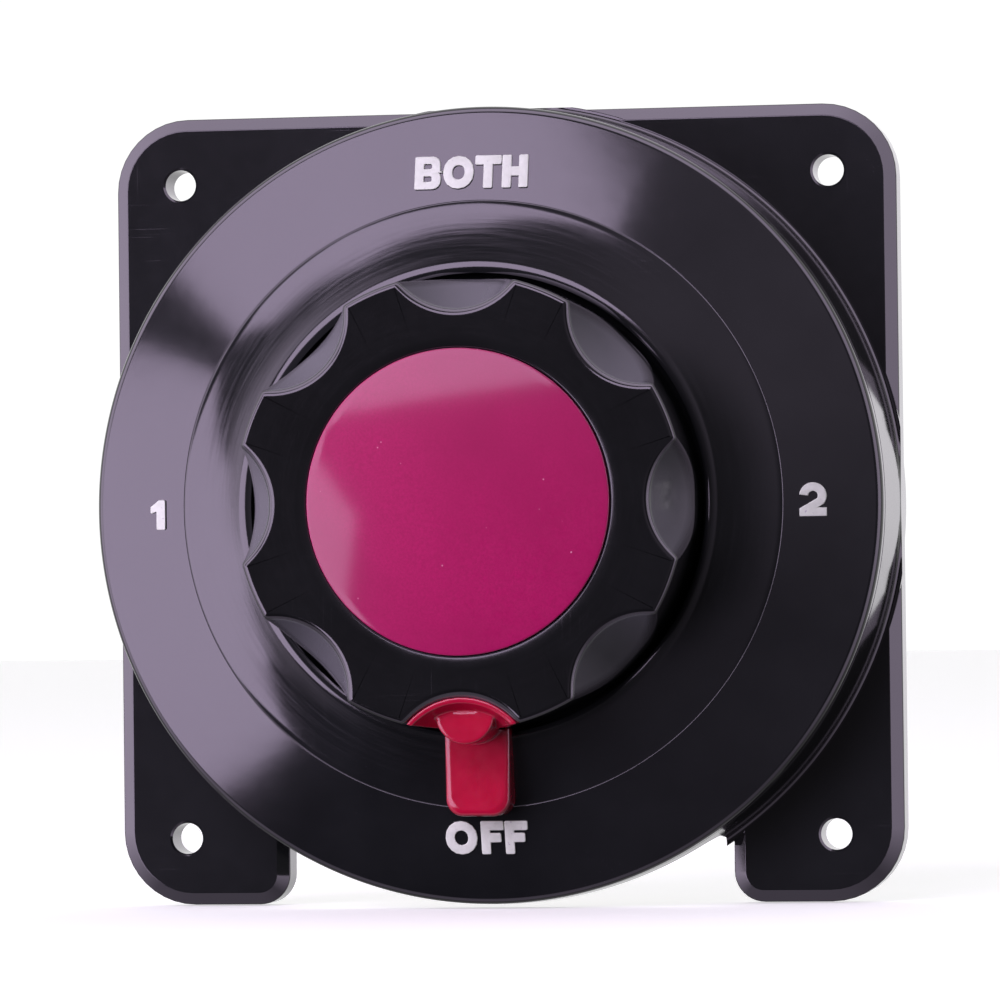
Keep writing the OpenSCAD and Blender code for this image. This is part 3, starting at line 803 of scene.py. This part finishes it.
def raised(name, letters, dial_angle):
    """Raised legend that follows the sloping ring, at a dial angle in degrees; its letters are
    (outlines, distance along the line)."""
    curve = bpy.data.curves.new(name, "CURVE")
    curve.dimensions = "2D"
    curve.fill_mode = "BOTH"
    sink, edge = 0.15, 0.12
    curve.extrude = (LEGEND_RAISE + sink) / 2 - edge
    curve.bevel_depth = edge
    curve.bevel_resolution = 3
    scale = 1 - 2 * edge / CAP_H
    for outlines, along in letters:
        for outline in outlines:
            points = fillet(outline, steps=4)
            spline = curve.splines.new("POLY")
            spline.points.add(len(points) - 1)
            for target, (x, y) in zip(spline.points, points):
                target.co = (x * scale + along, y * scale, 0, 1)
            spline.use_cyclic_u = True
    flat = linked(name, curve)
    bpy.context.view_layer.update()
    mesh = bpy.data.meshes.new_from_object(flat.evaluated_get(bpy.context.evaluated_depsgraph_get()))
    bpy.data.objects.remove(flat)
    bm = bmesh.new()
    bm.from_mesh(mesh)
    bmesh.ops.remove_doubles(bm, verts=bm.verts, dist=1e-4)
    angle = radians(dial_angle)
    middle_x, middle_y = LEGEND_R * cos(angle), LEGEND_R * sin(angle)
    lift = (LEGEND_RAISE - sink) / 2
    for v in bm.verts:
        x, y = v.co.x + middle_x, v.co.y + middle_y
        z = outer_ring_z(hypot(x, y)) + v.co.z + lift
        v.co = Vector(row([(x, y, z)])[0])
    bmesh.ops.recalc_face_normals(bm, faces=bm.faces)
    bm.to_mesh(mesh)
    bm.free()
    shade(mesh, 50)
    place(linked(name, mesh), "case", [name], WHITE)


def make_legends():
    """BOTH and 1 stand a little past their quarter turns."""
    raised("legend_off", [(letter_o(5.2), -4.05), (letter_f(3.7), 1.05), (letter_f(3.7), 4.95)],
           dial_angle=270)
    raised("legend_both", [(letter_b(4.3), -7.1), (letter_o(5.0), -2.05), (letter_t(4.3), 2.8),
                           (letter_h(4.2), 7.2)], dial_angle=91.3)
    raised("legend_1", [(digit_1(), 0)], dial_angle=181)
    raised("legend_2", [(digit_2(), 0)], dial_angle=0)


# ---- Knob ----

def scoop_edge(off, z, shrink=0.0):
    """Distance from the knob's axis to a scoop's surface, at an angle off the scoop and a height."""
    centre = SCOOP_TOP_R + (KNOB_TOP_Z - z) * tan(SCOOP_TILT)
    deep, wide = (SCOOP_R - shrink) / cos(SCOOP_TILT), SCOOP_R - shrink
    c, s = np.cos(off), np.sin(off)
    a = (c / deep) ** 2 + (s / wide) ** 2
    b = c * centre / deep ** 2
    root = b * b - a * ((centre / deep) ** 2 - 1)
    return np.where(root > 0, (b - np.sqrt(np.maximum(root, 0))) / a, 99.0)


def soft_min(a, b, width):
    """Lower of two values, rounded where they cross."""
    h = np.clip(0.5 + 0.5 * (b - a) / width, 0, 1)
    return b * (1 - h) + a * h - width * h * (1 - h)


def knob_outline(angles, z):
    """Radius of the scalloped knob round its axis at a height."""
    pitch = 2 * pi / SCOOPS
    off = (angles + pitch / 2) % pitch - pitch / 2
    return soft_min(np.full(len(angles), KNOB_R), scoop_edge(off, z), 0.9)


def drawn_in(points, distance):
    """Plan outline moved inward along its own normals."""
    tangent = np.roll(points, -1, axis=0) - np.roll(points, 1, axis=0)
    normal = np.stack([-tangent[:, 1], tangent[:, 0]], axis=1)
    return points + normal / np.linalg.norm(normal, axis=1, keepdims=True) * distance


def make_knob():
    """Rings from the label's recess over the scallops and the hollow to the square bore."""
    angles = full_turn(768)
    directions = np.stack([np.cos(angles), np.sin(angles)], axis=1)

    def scalloped(z, inset=0.0):
        plan = drawn_in(directions * knob_outline(angles, z)[:, None], inset)
        return np.column_stack([plan, np.full(len(angles), z)])

    recess = fillet([(COUNTERBORE_R, COUNTERBORE_Z, 0), (COUNTERBORE_R, LABEL_SEAT_Z - 0.03, 0.3),
                     (LABEL_R + 0.2, LABEL_SEAT_Z - 0.03, 0.2), (LABEL_R + 0.2, KNOB_TOP_Z, 0.25),
                     (LABEL_R + 2, KNOB_TOP_Z, 0)], steps=4)
    rings = [ring_at(angles, r, z) for r, z in recess]
    upper_z, lower_z = KNOB_TOP_Z - KNOB_EDGE, KNOB_BOTTOM_Z + KNOB_EDGE
    rings.append(scalloped(KNOB_TOP_Z, KNOB_EDGE + 0.15))
    rings += [scalloped(upper_z + KNOB_EDGE * sin(a), KNOB_EDGE * (1 - cos(a)))
              for a in np.linspace(pi / 2, 0, 7)]
    rings += [scalloped(z) for z in np.linspace(upper_z, lower_z, 56)[1:-1]]
    rings += [scalloped(lower_z - KNOB_EDGE * sin(a), KNOB_EDGE * (1 - cos(a)))
              for a in np.linspace(0, pi / 2, 5)]
    inner = fillet([(KNOB_R - 3, KNOB_BOTTOM_Z, 0), (KNOB_CAVITY_R, KNOB_BOTTOM_Z, 0.5),
                    (KNOB_CAVITY_R, KNOB_ROOF_Z, 0.8), (BOSS_R, KNOB_ROOF_Z, 0.8),
                    (BOSS_R, BOSS_BOTTOM_Z, 0.4), (SQUARE_HALF + 3, BOSS_BOTTOM_Z, 0)], steps=4)[1:]
    square = np.minimum(SQUARE_HALF / abs(directions).max(axis=1), SQUARE_CORNER_R)
    rings += [ring_at(angles, r, z) for r, z in (*inner, (square, BOSS_BOTTOM_Z), (square, COUNTERBORE_Z))]
    knob = ring_mesh("knob_grip", rings, sharp=40)
    weigh_normals(knob)
    place(knob, "selector", ["knob"], KNOB_BLACK)


def make_label():
    """Label disc with a low dome."""
    edge_z = LABEL_TOP_Z - LABEL_DOME
    dome_r = (LABEL_R ** 2 + LABEL_DOME ** 2) / (2 * LABEL_DOME)
    half = degrees(asin(LABEL_R / dome_r))
    profile = [(AXIS_R, LABEL_SEAT_Z), (LABEL_R - 0.2, LABEL_SEAT_Z), (LABEL_R, LABEL_SEAT_Z + 0.2),
               *arc((LABEL_R - 0.3, edge_z - 0.28), 0.3, 0, 75, 5),
               *arc((0, LABEL_TOP_Z - dome_r), dome_r, 90 - half * 0.985, 90, 24)[:-1],
               (AXIS_R, LABEL_TOP_Z)]
    label = turned("label_dome", profile, 192, closed=False)
    place(label, "selector", ["label_disc"], LABEL_RED)


# ---- Pointer ----

def to_pointer(points):
    """Turns (out along the pointer, across it, height) points to the pointer's dial angle."""
    c, s = cos(POINTER_DIAL_ANGLE), sin(POINTER_DIAL_ANGLE)
    p = np.asarray(points, float).reshape(-1, 3)
    return np.stack([p[:, 0] * c - p[:, 1] * s, p[:, 0] * s + p[:, 1] * c, p[:, 2]], axis=1)


def make_lining():
    """Thin red shell that lines the pointer's own finger scoop."""
    thick, in_knob = 0.9, 0.3
    widest = np.radians(np.linspace(0, 17, 200))
    spans = []
    for z in np.linspace(ARM_TOP_Z - 2.0, KNOB_TOP_Z - 1.1, 60):
        inside = widest[scoop_edge(widest, z) < KNOB_R - in_knob]
        if len(inside) > 10:
            spans.append((z, np.linspace(-inside[-1], inside[-1], 60)))

    def skin(shrink):
        return [ring_at(offs, np.minimum(scoop_edge(offs, z, shrink), KNOB_R - 0.03), z)
                for z, offs in spans]

    rings = [to_pointer(np.concatenate([back, front[::-1]])) for back, front in zip(skin(0.05), skin(thick))]
    return ring_mesh("lining", rings, closed=False)


def make_arm():
    """Arm over the inner ring: rounded plan, flat top, underside that follows the ring."""
    gap, corner, root = 0.55, 2.8, 32.0
    plan = fillet([(root, -ARM_HALF_W, 0), (ARM_REACH, -ARM_HALF_W, corner),
                   (ARM_REACH, ARM_HALF_W, corner), (root, ARM_HALF_W, 0)], steps=10)

    def under(r):
        ring = CREASE_Z + (LIP_Z - CREASE_Z) * (CREASE_R - r) / (CREASE_R - LIP_R)
        return min(max(ring, CREASE_Z), LIP_Z) + gap

    edge = 0.9
    rings = []
    for inset, drop in ((0.0, None), (0.0, edge), (0.27, 0.27), (edge, 0.0)):
        ring = []
        for x, y in plan:
            pull = min(1.0, max(0.0, (x - root) / 2))
            z = under(x) if drop is None else ARM_TOP_Z - drop * pull
            ring.append((x - inset * pull * (x > ARM_REACH - corner), y - copysign(inset, y), z))
        rings.append(to_pointer(ring))
    return ring_mesh("arm", rings, closed=False)


def make_post():
    """Half-round post that stands in the scoop, flat side towards the axis."""
    middle = POST_REACH - POST_R
    plan = [(middle + POST_R * cos(a), POST_R * sin(a))
            for a in np.linspace(-pi / 2, pi / 2, 33)]
    plan += [(POST_FROM_R, POST_R), (POST_FROM_R, -POST_R)]
    edge = 0.5
    centre = np.mean(plan, axis=0)
    rings = []
    for inset, z in ((0, ARM_TOP_Z - 2.2), (0, POST_TOP_Z - edge), (0.15, POST_TOP_Z - 0.15),
                     (edge, POST_TOP_Z)):
        drawn = centre + (np.array(plan) - centre) * (1 - inset / POST_R)
        rings.append(to_pointer([(x, y, z) for x, y in drawn]))
    return ring_mesh("post", rings, closed=False)


def make_knob_blank():
    """What the pointer has to stay clear of: the knob's body behind its own scoop."""
    angles = np.radians(np.linspace(-40, 40, 161))
    rings = []
    for z in np.linspace(ARM_TOP_Z - 4, KNOB_TOP_Z + 2, 60):
        front = ring_at(angles, np.minimum(scoop_edge(angles, z, 0.06), KNOB_R + 0.08), z)
        rings.append(to_pointer(np.concatenate([front, ring_at(angles, 0.5, z)[::-1]])))
    return ring_mesh("blank", rings, closed=False)


def make_pointer():
    """Arm, post and lining as one moulding, remeshed so that its inner corners run soft."""
    pointer = make_arm()
    cut_or_join(pointer, make_post(), "UNION")
    cut_or_join(pointer, make_knob_blank(), "DIFFERENCE")
    cut_or_join(pointer, make_lining(), "UNION")
    remesh = pointer.modifiers.new("remesh", "REMESH")
    remesh.mode = "VOXEL"
    remesh.voxel_size = 0.16e-3
    soften = pointer.modifiers.new("soften", "SMOOTH")
    soften.factor = 0.5
    soften.iterations = 6
    bake(pointer)
    pointer.name = "pointer_moulding"
    shade(pointer.data, 60)
    place(pointer, "selector", ["pointer"], POINTER_RED)


# ---- Terminals and the back ----

def stud_positions():
    """Where each stud stands behind the dial."""
    return {name: (STUD_RING_R * cos(radians(a)), STUD_RING_R * sin(radians(a)))
            for name, a in STUD_ANGLES.items()}


def make_stud(name, at):
    """Threaded stud: a helical V thread on the shank, a chamfered end and a thin round head."""
    angles = full_turn(72)
    free_end, shank_top, head_top = STUD_LOW[2], BOARD_HIGH[2], STUD_HIGH[2]
    depth = 0.61 * THREAD_PITCH
    rings = [ring_at(angles, AXIS_R, free_end, at)]
    for z in np.arange(free_end, shank_top, THREAD_PITCH / 12):
        phase = (z / THREAD_PITCH - angles / (2 * pi)) % 1
        crest = np.clip(1.25 * np.abs(2 * phase - 1) - 0.12, 0, 1)
        chamfer = STUD_R - depth * 0.9 + (z - free_end)
        fade = min(1.0, max(0.0, (shank_top - z) / THREAD_PITCH))
        rings.append(ring_at(angles, np.minimum(STUD_R - depth * (1 - crest) * fade, chamfer), z, at))
    rings += [ring_at(angles, r, z, at) for r, z in (
        (STUD_R, shank_top), (STUD_R, head_top - STUD_HEAD_T), (STUD_HEAD_R, head_top - STUD_HEAD_T),
        (STUD_HEAD_R, head_top - 0.3), (STUD_HEAD_R - 0.3, head_top), (AXIS_R, head_top))]
    stud = ring_mesh(name + "_thread", rings, closed=False, sharp=50)
    place(stud, "case", [name], BRASS)


def make_nut(at, z0, z1):
    """Hexagon nut: turned chamfers on both faces meet the flats in curved edges."""
    angles = full_turn(216)
    off_flat = (angles % (pi / 3)) - pi / 6
    corner_r = NUT_AF / 2 / cos(pi / 6) - 0.12
    hexagon = soft_min(NUT_AF / 2 / np.cos(off_flat), corner_r, 0.25)
    face_r, bore = NUT_AF / 2 * 0.97, STUD_R + 0.05
    slope = tan(radians(60))
    steps = np.concatenate([np.linspace(0, 0.9, 10), [(z1 - z0) / 2]])
    profile = [(np.minimum(hexagon, face_r + depth * slope), z0 + depth) for depth in steps]
    profile += [(np.minimum(hexagon, face_r + depth * slope), z1 - depth) for depth in steps[::-1][1:]]
    profile += [(bore + 0.7, z1), (bore, z1 - 0.6), (bore, z0 + 0.6), (bore + 0.7, z0)]
    return ring_mesh("nut", [ring_at(angles, r, z, at) for r, z in profile], sharp=28)


def make_flat_washer(at, z0, z1):
    bore = STUD_R + 0.3
    return turned("washer", fillet([(bore, z0, 0.15), (FLAT_WASHER_R, z0, 0.45), (FLAT_WASHER_R, z1, 0.15),
                                    (bore, z1, 0.3)]), 96, at=at)


def make_lock_washer(at, low, high):
    """Split spring washer, its two ends sprung a little apart."""
    rise, gap = 0.3, radians(9)
    z0, z1, bore = low + rise / 2, high - rise / 2, STUD_R + 0.2
    section = fillet([(bore, z0, 0.2), (LOCK_WASHER_R, z0, 0.3), (LOCK_WASHER_R, z1, 0.3), (bore, z1, 0.2)])
    rings = []
    for t in np.linspace(0, 1, 80):
        a = gap / 2 + t * (2 * pi - gap)
        rings.append([(at[0] + r * cos(a), at[1] + r * sin(a), z + (t - 0.5) * rise)
                      for r, z in section])
    return ring_mesh("lock", rings, closed=False)


def make_hardware():
    """Nuts and washers of the three studs, one piece for each kind, and the studs themselves."""
    for node, builder in (("jam_nuts", make_nut), ("terminal_nuts", make_nut),
                          ("flat_washers", make_flat_washer), ("lock_washers", make_lock_washer)):
        low, high = dial_box(node)
        group = join(node + "_set", [builder(at, low[2], high[2]) for at in stud_positions().values()])
        shade(group.data, 28)
        weigh_normals(group)
        place(group, "case", [node], STEEL)
    for name, at in stud_positions().items():
        make_stud(name, at)


def cross_recess(at, top, depth, reach, outward):
    """Tapered cross-shaped cutter of a screwdriver recess."""
    arms = []
    for turn in (0, 90):
        a = radians(turn + 12)
        rings = []
        for level, (half_l, half_w) in ((-0.3, (reach, 0.42)), (depth, (reach * 0.45, 0.28))):
            corners = [(-half_l, -half_w), (half_l, -half_w), (half_l, half_w), (-half_l, half_w)]
            rings.append([(at[0] + x * cos(a) - y * sin(a),
                           at[1] + x * sin(a) + y * cos(a), top - outward * level)
                          for x, y in corners])
        arms.append(ring_mesh("arm", rings, closed=False))
    return cut_or_join(arms[0], arms[1], "UNION")


def make_board():
    """Contact plate with its holes, their edges lightly broken."""
    z0, z1 = BOARD_LOW[2], BOARD_HIGH[2]
    board = turned("board", fillet([(AXIS_R, z0, 0), (BOARD_HIGH[0], z0, 0.35), (BOARD_HIGH[0], z1, 0.35),
                                    (AXIS_R, z1, 0)]), 288, closed=False)
    holes = [(p, STUD_R + 0.14) for p in stud_positions().values()]
    holes += [((x * BOARD_SCREW_XY, y * BOARD_SCREW_XY), 2.0) for x, y in QUARTERS]
    for at, r in holes:
        cut_or_join(board, turned("hole", [(r + 0.3, z0 - 1), (r + 0.3, z0), (r, z0 + 0.3), (r, z1 + 1)],
                                  48, closed=False, at=at), "DIFFERENCE")
    board.name = "terminal_board"
    clean(board)
    weigh_normals(board)
    place(board, "case", ["contact_plate"], BOARD)


def make_board_screws():
    """Four pan-head screws that hold the contact plate."""
    seat_z, shank_r = BOARD_LOW[2], 1.55
    head_z, tip_z = seat_z - 2.0, seat_z + 8.1
    profile = [(AXIS_R, head_z), (1.4, head_z + 0.03), *arc((1.9, seat_z - 0.35), 1.68, 265, 352, 8),
               (3.6, seat_z), (shank_r, seat_z), (shank_r, seat_z + 7), (0.5, tip_z), (AXIS_R, tip_z)]
    screws = []
    for x, y in QUARTERS:
        at = (x * BOARD_SCREW_XY, y * BOARD_SCREW_XY)
        screw = turned("screw", profile, 64, closed=False, at=at)
        screws.append(cut_or_join(screw, cross_recess(at, head_z, 1.3, 1.9, -1), "DIFFERENCE"))
    group = join("terminal_board_screws", screws)
    shade(group.data, 32)
    place(group, "case", ["contact_plate_screws"], STEEL)


def finish_cad_nodes():
    """The pieces inside the case keep their CAD shape and get their materials."""
    for names, material in ((("knob_screw", "knob_washer", "detent_ball_1", "detent_ball_2"), STEEL),
                            (("detent_spring_1", "detent_spring_2", "bridge_springs"), SPRING_STEEL),
                            (("rotor",), NYLON), (("shaft_o_ring", "plate_gasket"), RUBBER),
                            (("contact_bridge", "contact_bar_1", "contact_bar_2", "contact_bar_common"),
                             COPPER)):
        for name in names:
            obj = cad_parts[name]
            obj.data.materials.clear()
            obj.data.materials.append(material)


def squash_bridge_springs():
    """Gives the three bridge springs, which the contact bridge shortens as it lifts, a mesh of their own."""
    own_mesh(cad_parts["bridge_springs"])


# ---- Studio ----

def make_floor():
    """Pale paper that the feet stand on. It takes light and shadow, but adds none to the object."""
    size, drop = 30.0, 0.0002
    mesh = bpy.data.meshes.new("floor")
    z = CAD_LOW.z - drop
    corners = [(-size, -size, z), (size, -size, z), (size, size, z), (-size, size, z)]
    mesh.from_pydata(corners, [], [(0, 1, 2, 3)])
    floor = linked("floor", mesh)
    s = Surface("floor_paper", Specular_IOR_Level=0.1, Emission_Color=(1, 1, 1, 1), Emission_Strength=0.5)
    s.colour(s.blend(s.noise(8, 3), (0.86, 0.86, 0.86), (0.9, 0.9, 0.9)))
    s.roughness(s.spread(s.noise(40, 3), 0.3, 0.7, 0.8, 0.95))
    mesh.materials.append(s.material)
    floor.visible_glossy = floor.visible_diffuse = floor.visible_shadow = False


def make_world():
    """White paper behind the object and a dim studio in front of it, whose pale sides only show in
    reflections. Directions: X to the right, Y away from the front, Z up."""
    world = bpy.data.worlds.new("studio")
    bpy.context.scene.world = world
    world.use_nodes = True
    tree = world.node_tree
    nodes, links = tree.nodes, tree.links
    background = nodes["Background"]
    split = nodes.new("ShaderNodeSeparateXYZ")
    links.new(nodes.new("ShaderNodeTexCoord").outputs["Generated"], split.inputs[0])

    def graded(axis, start, end, first, last):
        return map_range(tree, split.outputs[axis], start, end, first, last)

    def product(first, *others):
        for other in others:
            first = math_node(tree, "MULTIPLY", first, other)
        return first

    ray = nodes.new("ShaderNodeLightPath")
    behind = product(graded("Y", 0.0, 0.4, 0.04, 1.05), graded("Z", -0.5, 0.0, 0.35, 1.0))
    behind = math_node(tree, "MAXIMUM", behind, ray.outputs["Is Camera Ray"])
    links.new(behind, background.inputs["Strength"])
    background.inputs["Color"].default_value = (1, 1, 1, 1)
    # lit screens round the sides and a faint glow at the upper right
    screens = product(graded("Y", -0.62, -0.48, 0.0, 4.2), graded("Y", -0.05, 0.2, 1.0, 0.0),
                      graded("Z", -0.7, 0.0, 0.2, 1.0), graded("X", 0.1, 0.7, 1.0, 0.75))
    glow = product(graded("X", -0.15, 0.3, 0.07, 0.4), graded("Z", -0.2, 0.2, 0.35, 1.0),
                   graded("X", 0.4, 0.55, 1.0, 0.2))
    extra = product(math_node(tree, "MAXIMUM", screens, glow), ray.outputs["Is Glossy Ray"])
    screen = nodes.new("ShaderNodeBackground")
    screen.inputs["Color"].default_value = (1.0, 0.84, 1.12, 1)
    links.new(extra, screen.inputs["Strength"])
    both = nodes.new("ShaderNodeAddShader")
    links.new(background.outputs[0], both.inputs[0])
    links.new(screen.outputs[0], both.inputs[1])
    links.new(both.outputs[0], nodes["World Output"].inputs["Surface"])


def direction(azimuth, elevation):
    """Unit vector from the dial, at degrees to the right of its axis and above it."""
    a, e = radians(azimuth), radians(elevation)
    return Vector((sin(a) * cos(e), -cos(a) * cos(e), sin(e)))


def octabox(name, azimuth, elevation, half_width, half_height, turn, radiance, tint):
    """Eight-sided softbox aimed at the dial; every angle is in degrees, seen from the dial."""
    distance = 2.6
    away = direction(azimuth, elevation)
    facing = away.to_track_quat("Z", "Y").to_matrix()
    right, up = facing.col[0], facing.col[1]
    wide, high = tan(radians(half_width)), tan(radians(half_height))
    corners = []
    for k in range(8):
        t = radians(turn + 45 * k)
        corners.append((away + right * cos(t) * wide + up * sin(t) * high) * distance)
    mesh = bpy.data.meshes.new(name)
    mesh.from_pydata(corners, [], [tuple(range(8))])
    box = linked(name, mesh)
    material = bpy.data.materials.new(name)
    material.use_nodes = True
    tree = material.node_tree
    tree.nodes.clear()
    emission, output = tree.nodes.new("ShaderNodeEmission"), tree.nodes.new("ShaderNodeOutputMaterial")
    emission.inputs["Color"].default_value = (*tint, 1)
    emission.inputs["Strength"].default_value = radiance
    tree.links.new(emission.outputs[0], output.inputs["Surface"])
    mesh.materials.append(material)
    box.visible_camera = box.visible_shadow = False


def make_lights():
    lamp = {"radiance": 5.6, "tint": (1.0, 0.82, 1.15)}
    octabox("left_octabox", azimuth=-38.5, elevation=-4, half_width=20.6, half_height=19.4, turn=12, **lamp)
    octabox("top_octabox", azimuth=-17.5, elevation=24.5, half_width=23.6, half_height=16.8, turn=-98.7,
            **lamp)


def make_camera():
    """Long lens from a little to the right of the dial's axis and just below it."""
    distance, roll = 1.1, radians(0.68)
    data = bpy.data.cameras.new("camera")
    data.sensor_width = 36
    data.lens = 241.5
    data.clip_start, data.clip_end = 0.01, 100
    camera = linked("camera", data)
    back = direction(azimuth=10.16, elevation=-1.25)
    turn = back.to_track_quat("Z", "Y").to_matrix() @ Matrix.Rotation(-roll, 3, "Z")
    aim = Vector((0, -PLATE_T / 1000, 0)) + turn @ Vector((-0.00086, 0.0011, 0))
    camera.matrix_world = Matrix.Translation(aim + back * distance) @ turn.to_4x4()
    bpy.context.scene.camera = camera


def main():
    bpy.context.scene.view_settings.view_transform = "Standard"
    make_camera()
    make_world()
    make_lights()
    make_floor()
    make_case()
    make_legends()
    make_knob()
    make_label()
    make_pointer()
    make_board()
    make_board_screws()
    make_hardware()
    finish_cad_nodes()
    squash_bridge_springs()


main()
